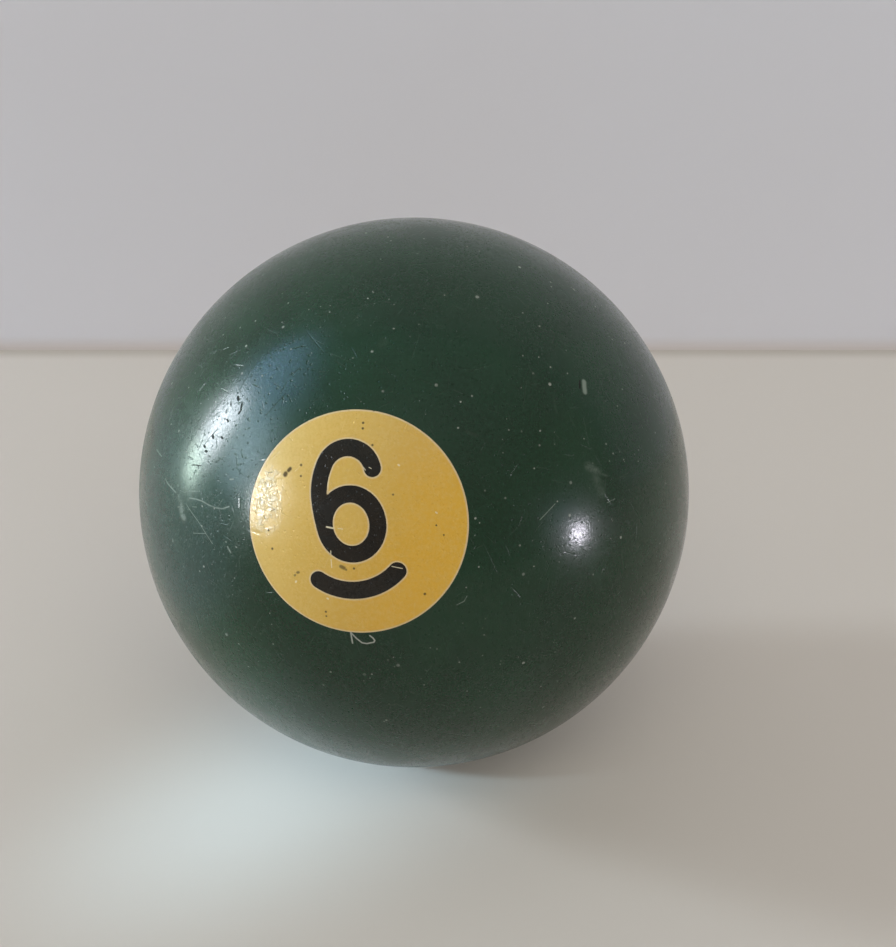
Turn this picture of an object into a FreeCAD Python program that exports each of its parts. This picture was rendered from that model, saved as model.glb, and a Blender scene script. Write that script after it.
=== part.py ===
import FreeCAD, Part
import math
import os
import re
import Sketcher

# A numbered pool ball.  A cast phenolic sphere has two round pockets on one diameter.
# Each pocket holds a pale number plug, and each plug holds a dark inlaid numeral "6" and
# the curved bar under it, which tells the 6 from a 9.  All faces end flush in one sphere.
#
# The origin is the ball's centre and +Z is up.  Every piece is drawn about the number
# axis, with the front number on +Z and the numeral's top towards +Y.  Its Placement then
# turns it to the way the ball rests: front number towards -Y, tilted up and rolled a little.

V = FreeCAD.Vector
AXIS = V(0, 0, 1)

DRIVING_SIZES = {
    "ball_diameter": 57.15,
    # Number plug: diameter, depth below the pole, and the chamfer round its inner end.
    "plug_diameter": 20.6,
    "plug_depth": 6.0,
    "plug_chamfer": 0.8,
    # Depth of the dark inlay below the pole, and the width of its two strokes.
    "inlay_depth": 2.5,
    "numeral_stroke": 1.55,
    "underline_stroke": 1.63,
    # How far the blanks of the plug and the inlay stand above the pole before they are domed.
    "blank_excess": 1.0,
    # Middle line of the numeral's closed bowl, an upright ellipse.
    "bowl_offset": 0.24,
    "bowl_half_width": 2.48,
    "bowl_half_height": 2.76,
    # Middle line of the stem: the hook's arc, then two arcs that meet at its left side.
    "hook_radius": 2.35,
    "hook_centre_height": 4.58,
    "hook_tip_height": 4.77,
    "stem_offset": 2.92,
    "stem_height": 2.48,
    "stem_radius": 18.0,
    "stem_end_depth": 0.6,
    # Middle line of the underline bar: one arc, as wide as its two ends are apart.
    "underline_radius": 5.76,
    "underline_span": 7.44,
    "underline_offset": 0.4,
    "underline_bottom": 6.14,
    # How the ball rests: the front number's angle above level, and its roll.
    "number_tilt": 24.2,
    "number_roll": 12.5,
}

doc = FreeCAD.newDocument("pool_ball")


def make_sheet(sizes):
    sheet = doc.addObject("Spreadsheet::Sheet", "sizes")
    for row, (alias, value) in enumerate(sizes.items(), start=1):
        sheet.set(f"A{row}", alias)
        sheet.set(f"B{row}", str(value))
        sheet.setAlias(f"B{row}", alias)
    doc.recompute()
    return sheet


sheet = make_sheet(DRIVING_SIZES)


def size(alias):
    return float(sheet.get(alias))


def bind(item, path, formula):
    """Ties one size of an object to the sheet, such as 'plug_diameter / 2'."""
    item.setExpression(path, re.sub(r"[a-z_]+", r"<<sizes>>.\g<0>", formula))


def constrain(sketch, name, formula, *constraint):
    """Adds a named dimension to a sketch and ties it to the sheet."""
    index = sketch.addConstraint(Sketcher.Constraint(*constraint))
    sketch.renameConstraint(index, name)
    bind(sketch, f"Constraints.{name}", formula)


# Sketcher's numbers for a curve's own points, and for the sketch's origin.
START = 1
END = 2
CENTRE = 3
ORIGIN = (-1, 1)
V_AXIS = -2


# ---------------------------------------------------------------- the coloured body

def origin_plane(body, role):
    for feature in body.Origin.OriginFeatures:
        if feature.Role == role:
            return feature
    raise ValueError(role)


def body_sketch(body, name):
    sketch = body.newObject("Sketcher::SketchObject", name)
    sketch.AttachmentSupport = [(origin_plane(body, "XZ_Plane"), "")]
    sketch.MapMode = "FlatFace"
    return sketch


def draw_half_disc(sketch):
    """Half of the ball's section: an arc from pole to pole, closed by the number axis."""
    radius = size("ball_diameter") / 2
    circle = Part.Circle(V(0, 0, 0), AXIS, radius)
    arc = sketch.addGeometry(Part.ArcOfCircle(circle, -math.pi / 2, math.pi / 2))
    chord = sketch.addGeometry(Part.LineSegment(V(0, radius, 0), V(0, -radius, 0)))
    sketch.addConstraint(Sketcher.Constraint("Coincident", arc, CENTRE, *ORIGIN))
    sketch.addConstraint(Sketcher.Constraint("Coincident", arc, END, chord, START))
    sketch.addConstraint(Sketcher.Constraint("Coincident", arc, START, chord, END))
    sketch.addConstraint(Sketcher.Constraint("PointOnObject", chord, START, V_AXIS))
    sketch.addConstraint(Sketcher.Constraint("PointOnObject", chord, END, V_AXIS))
    constrain(sketch, "radius", "ball_diameter / 2", "Radius", arc, radius)


def draw_plug_section(sketch):
    """Half of the plug's section, from its chamfered inner end to above the ball."""
    side = size("plug_diameter") / 2
    floor = size("ball_diameter") / 2 - size("plug_depth")
    top = size("ball_diameter") / 2 + size("blank_excess")
    chamfer = size("plug_chamfer")
    corners = [
        V(0, floor, 0),
        V(side - chamfer, floor, 0),
        V(side, floor + chamfer, 0),
        V(side, top, 0),
        V(0, top, 0),
    ]
    for first, second in zip(corners, corners[1:] + corners[:1]):
        sketch.addGeometry(Part.LineSegment(first, second))
    floor_line, chamfer_line, side_line, top_line, axis_line = range(5)
    for line in range(5):
        joined = Sketcher.Constraint("Coincident", line, END, (line + 1) % 5, START)
        sketch.addConstraint(joined)
    for line in (floor_line, top_line):
        sketch.addConstraint(Sketcher.Constraint("Horizontal", line))
    sketch.addConstraint(Sketcher.Constraint("Vertical", side_line))
    for point in (START, END):
        on_axis = Sketcher.Constraint("PointOnObject", axis_line, point, V_AXIS)
        sketch.addConstraint(on_axis)
    constrain(sketch, "side", "plug_diameter / 2",
              "DistanceX", *ORIGIN, side_line, START, side)
    constrain(sketch, "floor", "ball_diameter / 2 - plug_depth",
              "DistanceY", *ORIGIN, floor_line, START, floor)
    constrain(sketch, "top", "ball_diameter / 2 + blank_excess",
              "DistanceY", *ORIGIN, top_line, START, top)
    constrain(sketch, "chamfer_width", "plug_chamfer",
              "DistanceX", chamfer_line, START, chamfer_line, END, chamfer)
    constrain(sketch, "chamfer_height", "plug_chamfer",
              "DistanceY", chamfer_line, START, chamfer_line, END, chamfer)


def make_ball_body():
    """The cast sphere, with a pocket for a plug at each end of the number axis."""
    body = doc.addObject("PartDesign::Body", "ball_body")
    outline = body_sketch(body, "ball_section")
    draw_half_disc(outline)
    sphere = body.newObject("PartDesign::Revolution", "cast_sphere")
    sphere.Profile = outline
    sphere.ReferenceAxis = (outline, ["V_Axis"])
    sphere.Angle = 360
    doc.recompute()
    cast_volume = sphere.Shape.Volume

    section = body_sketch(body, "pocket_section")
    draw_plug_section(section)
    pocket = body.newObject("PartDesign::Groove", "front_pocket")
    pocket.Profile = section
    pocket.ReferenceAxis = (section, ["V_Axis"])
    pocket.Angle = 360
    doc.recompute()

    back_pocket = body.newObject("PartDesign::Mirrored", "back_pocket")
    back_pocket.Originals = [pocket]
    back_pocket.MirrorPlane = (origin_plane(body, "XY_Plane"), [""])
    body.Tip = back_pocket
    doc.recompute()
    one_pocket = cast_volume - pocket.Shape.Volume
    two_pockets = cast_volume - body.Shape.Volume
    if one_pocket < 1 or abs(two_pockets - 2 * one_pocket) > 1:
        raise ValueError("a plug pocket was not cut")
    return body


# ------------------------------------------------- plugs, numerals and underline bars

def make_ball_envelope():
    """The finished ball's outer sphere, which every inlaid face ends in."""
    ball = doc.addObject("Part::Sphere", "ball_envelope")
    bind(ball, "Radius", "ball_diameter / 2")
    return ball


def make_plug_blank(ball):
    """The plug before its numeral is let in: a chamfered cylinder with a domed face."""
    section = doc.addObject("Sketcher::SketchObject", "plug_section")
    draw_plug_section(section)
    section.Placement.Rotation = FreeCAD.Rotation(V(1, 0, 0), 90)
    turned = doc.addObject("Part::Revolution", "plug_turned")
    turned.Source = section
    turned.Axis = AXIS
    turned.Angle = 360
    turned.Solid = True
    blank = doc.addObject("Part::Common", "plug_blank")
    blank.Base = turned
    blank.Tool = ball
    return blank


def raise_to_inlay_floor(item):
    bind(item, "Placement.Base.z", "ball_diameter / 2 - inlay_depth")


def extrude_inlay(name, outline):
    """A straight-sided inlay from its floor to just above the ball."""
    inlay = doc.addObject("Part::Extrusion", name)
    inlay.Base = outline
    inlay.DirMode = "Custom"
    inlay.Dir = AXIS
    bind(inlay, "LengthFwd", "inlay_depth + blank_excess")
    inlay.Solid = True
    return inlay


def make_stroke(name, line, width):
    """A round-ended stroke along a middle line."""
    outline = doc.addObject("Part::Offset2D", name + "_outline")
    outline.Source = line
    outline.Mode = "Pipe"
    outline.Join = "Arc"
    bind(outline, "Value", width + " / 2")
    return extrude_inlay(name, outline)


def make_oval(name, sign):
    """The bowl's outer (+) or inner (-) oval, half a stroke from its middle line."""
    oval = doc.addObject("Part::Ellipse", name)
    bind(oval, "MajorRadius", f"bowl_half_height {sign} numeral_stroke / 2")
    bind(oval, "MinorRadius", f"bowl_half_width {sign} numeral_stroke / 2")
    oval.Placement.Rotation = FreeCAD.Rotation(AXIS, 90)
    bind(oval, "Placement.Base.x", "-bowl_offset")
    raise_to_inlay_floor(oval)
    return oval


def arc_from(centre, radius, first_angle, last_angle):
    """An arc drawn anticlockwise between two angles in radians."""
    return Part.ArcOfCircle(Part.Circle(centre, AXIS, radius), first_angle, last_angle)


def draw_stem_line():
    """The 6's stem: a hook over the top, then down the left side into the bowl."""
    hook_radius = size("hook_radius")
    stem_radius = size("stem_radius")
    left = V(-size("stem_offset"), size("stem_height"), 0)
    hook = V(0, size("hook_centre_height"), 0)

    # The shoulder arc is tangent to the hook and upright at the stem's left-most point.
    across = hook.x - left.x
    rise = hook.y - left.y
    shoulder_radius = (across**2 + rise**2 - hook_radius**2) / (2 * (across - hook_radius))
    shoulder = V(left.x + shoulder_radius, left.y, 0)
    meeting = math.atan2(hook.y - shoulder.y, hook.x - shoulder.x)
    tip = math.asin((size("hook_tip_height") - hook.y) / hook_radius)
    lower = V(left.x + stem_radius, left.y, 0)
    end = -size("stem_end_depth")
    bottom = math.pi + math.asin((left.y - end) / stem_radius)

    line = doc.addObject("Sketcher::SketchObject", "stem_line")
    hook_arc = line.addGeometry(arc_from(hook, hook_radius, tip, meeting))
    shoulder_arc = line.addGeometry(arc_from(shoulder, shoulder_radius, meeting, math.pi))
    lower_arc = line.addGeometry(arc_from(lower, stem_radius, math.pi, bottom))
    line.addConstraint(Sketcher.Constraint("Tangent", hook_arc, END, shoulder_arc, START))
    line.addConstraint(Sketcher.Constraint("Tangent", shoulder_arc, END, lower_arc, START))
    line.addConstraint(Sketcher.Constraint("PointOnObject", hook_arc, CENTRE, V_AXIS))
    level = Sketcher.Constraint("Horizontal", shoulder_arc, CENTRE, shoulder_arc, END)
    line.addConstraint(level)
    constrain(line, "hook_radius", "hook_radius", "Radius", hook_arc, hook_radius)
    constrain(line, "stem_radius", "stem_radius", "Radius", lower_arc, stem_radius)
    constrain(line, "hook_centre_height", "hook_centre_height",
              "DistanceY", *ORIGIN, hook_arc, CENTRE, hook.y)
    constrain(line, "hook_tip_height", "hook_tip_height",
              "DistanceY", *ORIGIN, hook_arc, START, size("hook_tip_height"))
    constrain(line, "stem_offset", "stem_offset",
              "DistanceX", shoulder_arc, END, *ORIGIN, -left.x)
    constrain(line, "stem_height", "stem_height",
              "DistanceY", *ORIGIN, shoulder_arc, END, left.y)
    constrain(line, "stem_end_depth", "stem_end_depth",
              "DistanceY", lower_arc, END, *ORIGIN, -end)
    raise_to_inlay_floor(line)
    return line


def make_numeral():
    """The 6: its stem runs into the outside of the bowl, and the counter is cut last."""
    outside = doc.addObject("Part::Fuse", "numeral_outside")
    outside.Base = extrude_inlay("bowl", make_oval("bowl_outer_oval", "+"))
    outside.Tool = make_stroke("stem", draw_stem_line(), "numeral_stroke")
    numeral = doc.addObject("Part::Cut", "numeral_blank")
    numeral.Base = outside
    numeral.Tool = extrude_inlay("counter", make_oval("bowl_inner_oval", "-"))
    return numeral


def draw_underline():
    """The bar under the 6: one arc that sags in the middle, level at its two ends."""
    radius = size("underline_radius")
    span = size("underline_span")
    centre = V(-size("underline_offset"), radius - size("underline_bottom"), 0)
    half_angle = math.asin(span / 2 / radius)
    down = 1.5 * math.pi

    line = doc.addObject("Sketcher::SketchObject", "underline_line")
    bar = line.addGeometry(arc_from(centre, radius, down - half_angle, down + half_angle))
    line.addConstraint(Sketcher.Constraint("Horizontal", bar, START, bar, END))
    constrain(line, "radius", "underline_radius", "Radius", bar, radius)
    constrain(line, "span", "underline_span", "DistanceX", bar, START, bar, END, span)
    constrain(line, "offset", "underline_offset",
              "DistanceX", bar, CENTRE, *ORIGIN, size("underline_offset"))
    constrain(line, "height", "underline_bottom - underline_radius",
              "DistanceY", bar, CENTRE, *ORIGIN, -centre.y)
    raise_to_inlay_floor(line)
    return line


def attitude(side):
    """Turns a piece from the number axis to the way the ball rests."""
    tilt = FreeCAD.Rotation(V(1, 0, 0), 90 - size("number_tilt"))
    roll = FreeCAD.Rotation(AXIS, size("number_roll"))
    turn = FreeCAD.Rotation(V(0, 1, 0), 180 if side == "back" else 0)
    return FreeCAD.Placement(V(0, 0, 0), tilt * roll * turn)


ball = make_ball_envelope()
plug_blank = make_plug_blank(ball)
numeral_blank = make_numeral()
underline_blank = make_stroke("underline", draw_underline(), "underline_stroke")
inlay_blanks = doc.addObject("Part::Compound", "inlay_blanks")
inlay_blanks.Links = [numeral_blank, underline_blank]

pieces = {"ball_body": make_ball_body()}
pieces["ball_body"].Placement = attitude("front")

for side in ("front", "back"):
    plug = doc.addObject("Part::Cut", "number_plug_" + side)
    plug.Base = plug_blank
    plug.Tool = inlay_blanks
    numeral = doc.addObject("Part::Common", "numeral_six_" + side)
    numeral.Base = numeral_blank
    numeral.Tool = ball
    bar = doc.addObject("Part::Common", "underline_bar_" + side)
    bar.Base = underline_blank
    bar.Tool = ball
    for piece in (plug, numeral, bar):
        piece.Placement = attitude(side)
        pieces[piece.Label] = piece

doc.recompute()


# ------------------------------------------------------------------ checks and files

for item in doc.Objects:
    if "Invalid" in item.State or "Error" in item.State:
        raise ValueError(f"{item.Label} did not rebuild: {item.State}")
    if item.TypeId == "Sketcher::SketchObject" and not item.FullyConstrained:
        raise ValueError(item.Label + " is not fully constrained")

total_volume = 0
for label, piece in pieces.items():
    shape = piece.Shape
    if shape.isNull() or not shape.isValid() or len(shape.Solids) != 1:
        raise ValueError(label + " is not one valid solid")
    total_volume += shape.Volume

# The pieces fill the ball exactly, with no gap and no overlap.
ball_volume = math.pi * size("ball_diameter") ** 3 / 6
if abs(total_volume - ball_volume) > 0.5:
    raise ValueError(f"pieces hold {total_volume:.2f}, the ball holds {ball_volume:.2f}")

os.makedirs("parts", exist_ok=True)
for label, piece in pieces.items():
    piece.Shape.exportStep(f"parts/{label}.step")
    print(f"{label}: {piece.Shape.Volume:.1f} mm3")
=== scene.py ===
import math

import bmesh
import bpy
import numpy as np
from mathutils import Matrix, Vector
from mathutils.geometry import delaunay_2d_cdt


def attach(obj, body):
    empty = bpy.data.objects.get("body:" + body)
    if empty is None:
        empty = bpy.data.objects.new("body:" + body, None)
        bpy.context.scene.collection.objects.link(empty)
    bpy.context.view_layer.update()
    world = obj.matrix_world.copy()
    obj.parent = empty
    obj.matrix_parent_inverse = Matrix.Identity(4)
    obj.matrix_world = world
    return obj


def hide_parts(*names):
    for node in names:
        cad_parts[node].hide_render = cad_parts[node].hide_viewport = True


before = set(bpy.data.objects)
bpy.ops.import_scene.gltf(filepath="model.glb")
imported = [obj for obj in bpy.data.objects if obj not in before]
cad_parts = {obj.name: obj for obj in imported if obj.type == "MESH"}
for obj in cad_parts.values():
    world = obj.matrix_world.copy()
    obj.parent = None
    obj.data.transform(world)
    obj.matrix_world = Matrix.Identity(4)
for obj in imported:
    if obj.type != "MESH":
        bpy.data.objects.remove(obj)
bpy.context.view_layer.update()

MM = 0.001

# ------------------------------------------------------------------ sizes, in millimetres
# The driving dimensions of the CAD model, so that each finished mesh lies where its node does.

BALL_RADIUS = 57.15 / 2
PLUG_RADIUS = 20.6 / 2
PLUG_FLOOR = BALL_RADIUS - 6.0
PLUG_CHAMFER = 0.8
INLAY_FLOOR = BALL_RADIUS - 2.5
NUMERAL_STROKE = 1.55
UNDERLINE_STROKE = 1.63
BOWL_CENTRE = (-0.24, 0.0)
BOWL_HALF_WIDTH = 2.48
BOWL_HALF_HEIGHT = 2.76
HOOK_RADIUS = 2.35
HOOK_CENTRE = (0.0, 4.58)
HOOK_TIP_HEIGHT = 4.77
STEM_LEFT = (-2.92, 2.48)
STEM_RADIUS = 18.0
STEM_END_DEPTH = 0.6
UNDERLINE_RADIUS = 5.76
UNDERLINE_SPAN = 7.44
UNDERLINE_OFFSET = 0.4
UNDERLINE_BOTTOM = 6.14
NUMBER_TILT = 24.2
NUMBER_ROLL = 12.5

# Finish of the meshes: the hairline rounding along each joint, the width of the plug's painted
# edge highlight, and the spacing of the points.
EDGE_ROUNDING = 0.035
EDGE_STEPS = 3
HIGHLIGHT_EDGE_WIDTH = 0.17
OUTLINE_STEP = 0.08
DOME_STEP = 0.4
BODY_SEGMENTS = 288
BODY_STEP_DEG = 1.2


# ------------------------------------------------------------------ the number axis

def attitude(side):
    """Turns a point about the number axis (right, up, out) to the way the ball rests."""
    tilt = Matrix.Rotation(math.radians(90 - NUMBER_TILT), 4, "X")
    roll = Matrix.Rotation(math.radians(NUMBER_ROLL), 4, "Z")
    turn = Matrix.Rotation(math.pi if side == "back" else 0.0, 4, "Y")
    return tilt @ roll @ turn


# ------------------------------------------------------------------ outlines, as 2D loops

def arc(centre, radius, first, last):
    """Points along an arc between two angles in radians, ends included."""
    count = max(2, math.ceil(abs(last - first) * radius / OUTLINE_STEP) + 1)
    angle = np.linspace(first, last, count)
    return np.stack([centre[0] + radius * np.cos(angle),
                     centre[1] + radius * np.sin(angle)], axis=1)


def circle(radius):
    return arc((0, 0), radius, 0, 2 * math.pi)[:-1]


def oval(half_width, half_height):
    count = math.ceil(2 * math.pi * half_height / OUTLINE_STEP)
    angle = np.arange(count) * 2 * math.pi / count
    return np.stack([BOWL_CENTRE[0] + half_width * np.cos(angle),
                     BOWL_CENTRE[1] + half_height * np.sin(angle)], axis=1)


def stem_line():
    """Middle line of the 6's stem: the hook, the shoulder and the lower arc."""
    across = HOOK_CENTRE[0] - STEM_LEFT[0]
    rise = HOOK_CENTRE[1] - STEM_LEFT[1]
    shoulder_radius = (across**2 + rise**2 - HOOK_RADIUS**2) / (2 * (across - HOOK_RADIUS))
    shoulder = (STEM_LEFT[0] + shoulder_radius, STEM_LEFT[1])
    meeting = math.atan2(HOOK_CENTRE[1] - shoulder[1], HOOK_CENTRE[0] - shoulder[0])
    tip = math.asin((HOOK_TIP_HEIGHT - HOOK_CENTRE[1]) / HOOK_RADIUS)
    lower = (STEM_LEFT[0] + STEM_RADIUS, STEM_LEFT[1])
    bottom = math.pi + math.asin((STEM_LEFT[1] + STEM_END_DEPTH) / STEM_RADIUS)
    return np.concatenate([
        arc(HOOK_CENTRE, HOOK_RADIUS, tip, meeting)[:-1],
        arc(shoulder, shoulder_radius, meeting, math.pi)[:-1],
        arc(lower, STEM_RADIUS, math.pi, bottom),
    ])


def underline_line():
    centre = (-UNDERLINE_OFFSET, UNDERLINE_RADIUS - UNDERLINE_BOTTOM)
    half_angle = math.asin(UNDERLINE_SPAN / 2 / UNDERLINE_RADIUS)
    down = 1.5 * math.pi
    return arc(centre, UNDERLINE_RADIUS, down - half_angle, down + half_angle)


def stroke(line, width):
    """Closed anticlockwise outline of a round-ended stroke along a middle line."""
    along = np.gradient(line, axis=0)
    along /= np.linalg.norm(along, axis=1, keepdims=True)
    left = np.stack([-along[:, 1], along[:, 0]], axis=1) * width / 2
    end_angle = math.atan2(-left[-1, 1], -left[-1, 0])
    start_angle = math.atan2(left[0, 1], left[0, 0])
    end_cap = arc(line[-1], width / 2, end_angle, end_angle + math.pi)[1:-1]
    start_cap = arc(line[0], width / 2, start_angle, start_angle + math.pi)[1:-1]
    return np.concatenate([line - left, end_cap, (line + left)[::-1], start_cap])


def inside(points, loop):
    """Which points lie inside a closed loop, by the even-odd rule."""
    x, y = points[:, 0, None], points[:, 1, None]
    x1, y1 = loop[:, 0], loop[:, 1]
    x2, y2 = np.roll(x1, -1), np.roll(y1, -1)
    spans = (y1 > y) != (y2 > y)
    rise = np.where(y2 == y1, 1, y2 - y1)
    crossing = x < (x2 - x1) * (y - y1) / rise + x1
    return (spans & crossing).sum(axis=1) % 2 == 1


def outside_run(loop, other):
    """The one unbroken run of a loop's points that lies outside another loop."""
    hidden = inside(loop, other)
    start = np.flatnonzero(~hidden & np.roll(hidden, 1))[0]
    loop = np.roll(loop, -start, axis=0)
    return loop[~np.roll(hidden, -start)]


def union(first, second):
    """Outline round two overlapping loops that cross twice."""
    return np.concatenate([outside_run(first, second), outside_run(second, first)])


def shifted(loop, distance):
    """An anticlockwise loop moved inwards (+) or outwards (-) by a small distance."""
    along = np.roll(loop, -1, axis=0) - np.roll(loop, 1, axis=0)
    along /= np.linalg.norm(along, axis=1, keepdims=True)
    return loop + np.stack([-along[:, 1], along[:, 0]], axis=1) * distance


NUMERAL_OUTER = union(
    stroke(stem_line(), NUMERAL_STROKE),
    oval(BOWL_HALF_WIDTH + NUMERAL_STROKE / 2, BOWL_HALF_HEIGHT + NUMERAL_STROKE / 2),
)
COUNTER = oval(BOWL_HALF_WIDTH - NUMERAL_STROKE / 2, BOWL_HALF_HEIGHT - NUMERAL_STROKE / 2)
UNDERLINE = stroke(underline_line(), UNDERLINE_STROKE)
PLUG_EDGE = circle(PLUG_RADIUS)


# ------------------------------------------------------------------ solids from the outlines

def dome_height(points):
    return np.sqrt(BALL_RADIUS**2 - (points**2).sum(axis=1))


def fill(loops, keep, step=None):
    """Triangles between loops: their points, and the faces that keep() accepts. With a step,
    a grid of points is added inside, so that a dome is round."""
    points = [np.asarray(loop) for loop in loops]
    edges = []
    start = 0
    for loop in loops:
        count = len(loop)
        edges += [(start + i, start + (i + 1) % count) for i in range(count)]
        start += count
    if step:
        reach = np.abs(np.concatenate(points)).max()
        axis = np.arange(-reach, reach, step)
        grid = np.stack(np.meshgrid(axis, axis), axis=-1).reshape(-1, 2)
        grid = grid[keep(grid)]
        outline = np.concatenate(points)
        gap = np.array([((outline - point)**2).sum(axis=1).min() for point in grid])
        points.append(grid[gap > (step / 2)**2])
    flat = [Vector(point) for point in np.concatenate(points)]
    corners, _, faces, *_ = delaunay_2d_cdt(flat, edges, [], 0, 1e-7)
    corners = np.array(corners)
    centres = np.array([corners[list(face)].mean(axis=0) for face in faces])
    wanted = keep(centres)
    return corners, [face for face, good in zip(faces, wanted) if good]


class Solid:
    """Collects faces in the number axis's own frame, in millimetres, then makes one mesh."""

    def __init__(self):
        self.bm = bmesh.new()

    def add_points(self, flat, height):
        heights = np.broadcast_to(height, len(flat))
        return [self.bm.verts.new((x, y, z)) for (x, y), z in zip(flat, heights)]

    def add_sheet(self, loops, keep, height, step=None):
        flat, faces = fill(loops, keep, step)
        z = dome_height(flat) if height == "dome" else height
        verts = self.add_points(flat, z)
        for face in faces:
            self.bm.faces.new([verts[i] for i in face])

    def add_wall(self, rings):
        """Quads between closed rings of the same number of points."""
        rings = [self.add_points(flat, height) for flat, height in rings]
        for upper, lower in zip(rings, rings[1:]):
            for i, vert in enumerate(upper):
                j = (i + 1) % len(upper)
                self.bm.faces.new((vert, upper[j], lower[j], lower[i]))

    def mark_highlight_edges(self, outlines):
        """Stores 1 at these outlines, falling to 0 over the width of their painted edge highlight.
        """
        layer = self.bm.verts.layers.float.new("painted_edge_highlight")
        border = np.concatenate(outlines)
        for vert in self.bm.verts:
            gap = math.sqrt(((border - np.array(vert.co.xy))**2).sum(axis=1).min())
            vert[layer] = min(1.0, max(0.0, 1 - (gap - EDGE_ROUNDING) / HIGHLIGHT_EDGE_WIDTH))

    def make(self, name, material, side):
        bmesh.ops.remove_doubles(self.bm, verts=self.bm.verts, dist=1e-5)
        bmesh.ops.recalc_face_normals(self.bm, faces=self.bm.faces)
        mesh = bpy.data.meshes.new(name)
        self.bm.transform(attitude(side) @ Matrix.Scale(MM, 4))
        self.bm.normal_update()
        self.bm.to_mesh(mesh)
        self.bm.free()
        set_dome_normals(mesh)
        piece = bpy.data.objects.new(name, mesh)
        bpy.context.scene.collection.objects.link(piece)
        mesh.materials.append(material)
        return piece


def set_dome_normals(mesh):
    """Every point on the ball's sphere gets the sphere's own normal, the others their mean."""
    mesh.shade_smooth()
    normals = []
    for vert in mesh.vertices:
        on_ball = abs(vert.co.length - BALL_RADIUS * MM) < 1e-8
        normals.append(vert.co.normalized() if on_ball else vert.normal.copy())
    mesh.normals_split_custom_set_from_vertices(normals)


def rounded_rim(loop, sign):
    """Rings over a hairline rounded edge: from the dome, inset by the radius, to the wall."""
    rings = []
    for step in range(EDGE_STEPS + 1):
        angle = math.pi / 2 * step / EDGE_STEPS
        ring = shifted(loop, sign * EDGE_ROUNDING * (1 - math.sin(angle)))
        drop = EDGE_ROUNDING * (1 - math.cos(angle))
        rings.append((ring, dome_height(ring) - drop))
    return rings


def in_numeral(points):
    return inside(points, NUMERAL_OUTER) & ~inside(points, COUNTER)


def in_underline(points):
    return inside(points, UNDERLINE)


def in_plug_face(points):
    round_plug = np.hypot(points[:, 0], points[:, 1]) < PLUG_RADIUS
    return round_plug & ~in_numeral(points) & ~in_underline(points)


def make_plug(side, material):
    """The pale plug: domed face, numeral and underline recesses, chamfered inner end."""
    solid = Solid()
    outer = rounded_rim(PLUG_EDGE, 1)
    numeral = rounded_rim(NUMERAL_OUTER, -1)
    counter = rounded_rim(COUNTER, 1)
    underline = rounded_rim(UNDERLINE, -1)
    outlines = [(PLUG_EDGE, 1), (NUMERAL_OUTER, -1), (COUNTER, 1), (UNDERLINE, -1)]
    loops = [rings[0][0] for rings in (outer, numeral, counter, underline)]
    loops += [shifted(loop, sign * (EDGE_ROUNDING + HIGHLIGHT_EDGE_WIDTH)) for loop, sign in outlines]
    solid.add_sheet(loops, in_plug_face, "dome", DOME_STEP)
    for rings, outline in ((numeral, NUMERAL_OUTER), (counter, COUNTER), (underline, UNDERLINE)):
        solid.add_wall(rings + [(outline, INLAY_FLOOR)])
    solid.add_sheet([NUMERAL_OUTER, COUNTER], in_numeral, INLAY_FLOOR)
    solid.add_sheet([UNDERLINE], in_underline, INLAY_FLOOR)
    inner_end = PLUG_EDGE * (1 - PLUG_CHAMFER / PLUG_RADIUS)
    solid.add_wall(outer + [(PLUG_EDGE, PLUG_FLOOR + PLUG_CHAMFER), (inner_end, PLUG_FLOOR)])
    solid.add_sheet([inner_end], lambda points: inside(points, inner_end), PLUG_FLOOR)
    solid.mark_highlight_edges([loop for loop, _ in outlines])
    return solid.make("plug_" + side, material, side)


def make_inlay(name, side, material, loops, keep):
    """A dark inlay: its domed face, straight walls and flat floor."""
    solid = Solid()
    rims = [rounded_rim(loop, sign) for loop, sign in loops]
    solid.add_sheet([rings[0][0] for rings in rims], keep, "dome", DOME_STEP)
    for rings, (loop, _) in zip(rims, loops):
        solid.add_wall(rings + [(loop, INLAY_FLOOR)])
    solid.add_sheet([loop for loop, _ in loops], keep, INLAY_FLOOR)
    return solid.make(name + "_" + side, material, side)


def body_profile():
    """Half-section of the coloured body: pocket, rounded rim, ball, then the same again."""
    rim_angle = math.degrees(math.asin((PLUG_RADIUS + EDGE_ROUNDING) / BALL_RADIUS))
    profile = [
        (PLUG_RADIUS - PLUG_CHAMFER, PLUG_FLOOR),
        (PLUG_RADIUS, PLUG_FLOOR + PLUG_CHAMFER),
    ]
    for step in range(EDGE_STEPS, 0, -1):
        angle = math.pi / 2 * step / EDGE_STEPS
        radius = PLUG_RADIUS + EDGE_ROUNDING * (1 - math.sin(angle))
        drop = EDGE_ROUNDING * (1 - math.cos(angle))
        profile.append((radius, math.sqrt(BALL_RADIUS**2 - radius**2) - drop))
    count = round((90 - rim_angle) / BODY_STEP_DEG)
    for angle in np.radians(np.linspace(rim_angle, 90, count + 1)):
        profile.append((BALL_RADIUS * math.sin(angle), BALL_RADIUS * math.cos(angle)))
    return profile + [(radius, -height) for radius, height in profile[-2::-1]]


def make_body(material):
    """The cast body, turned about the number axis, with both plug pockets."""
    solid = Solid()
    turn = np.arange(BODY_SEGMENTS) * 2 * math.pi / BODY_SEGMENTS
    round_ring = np.stack([np.cos(turn), np.sin(turn)], axis=1)
    solid.add_wall([(round_ring * radius, height) for radius, height in body_profile()])
    pocket_floor = round_ring * (PLUG_RADIUS - PLUG_CHAMFER)
    for height in (PLUG_FLOOR, -PLUG_FLOOR):
        solid.add_sheet([pocket_floor], lambda points: inside(points, pocket_floor), height)
    return solid.make("cast_body", material, "front")


# ------------------------------------------------------------------ node helpers

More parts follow.
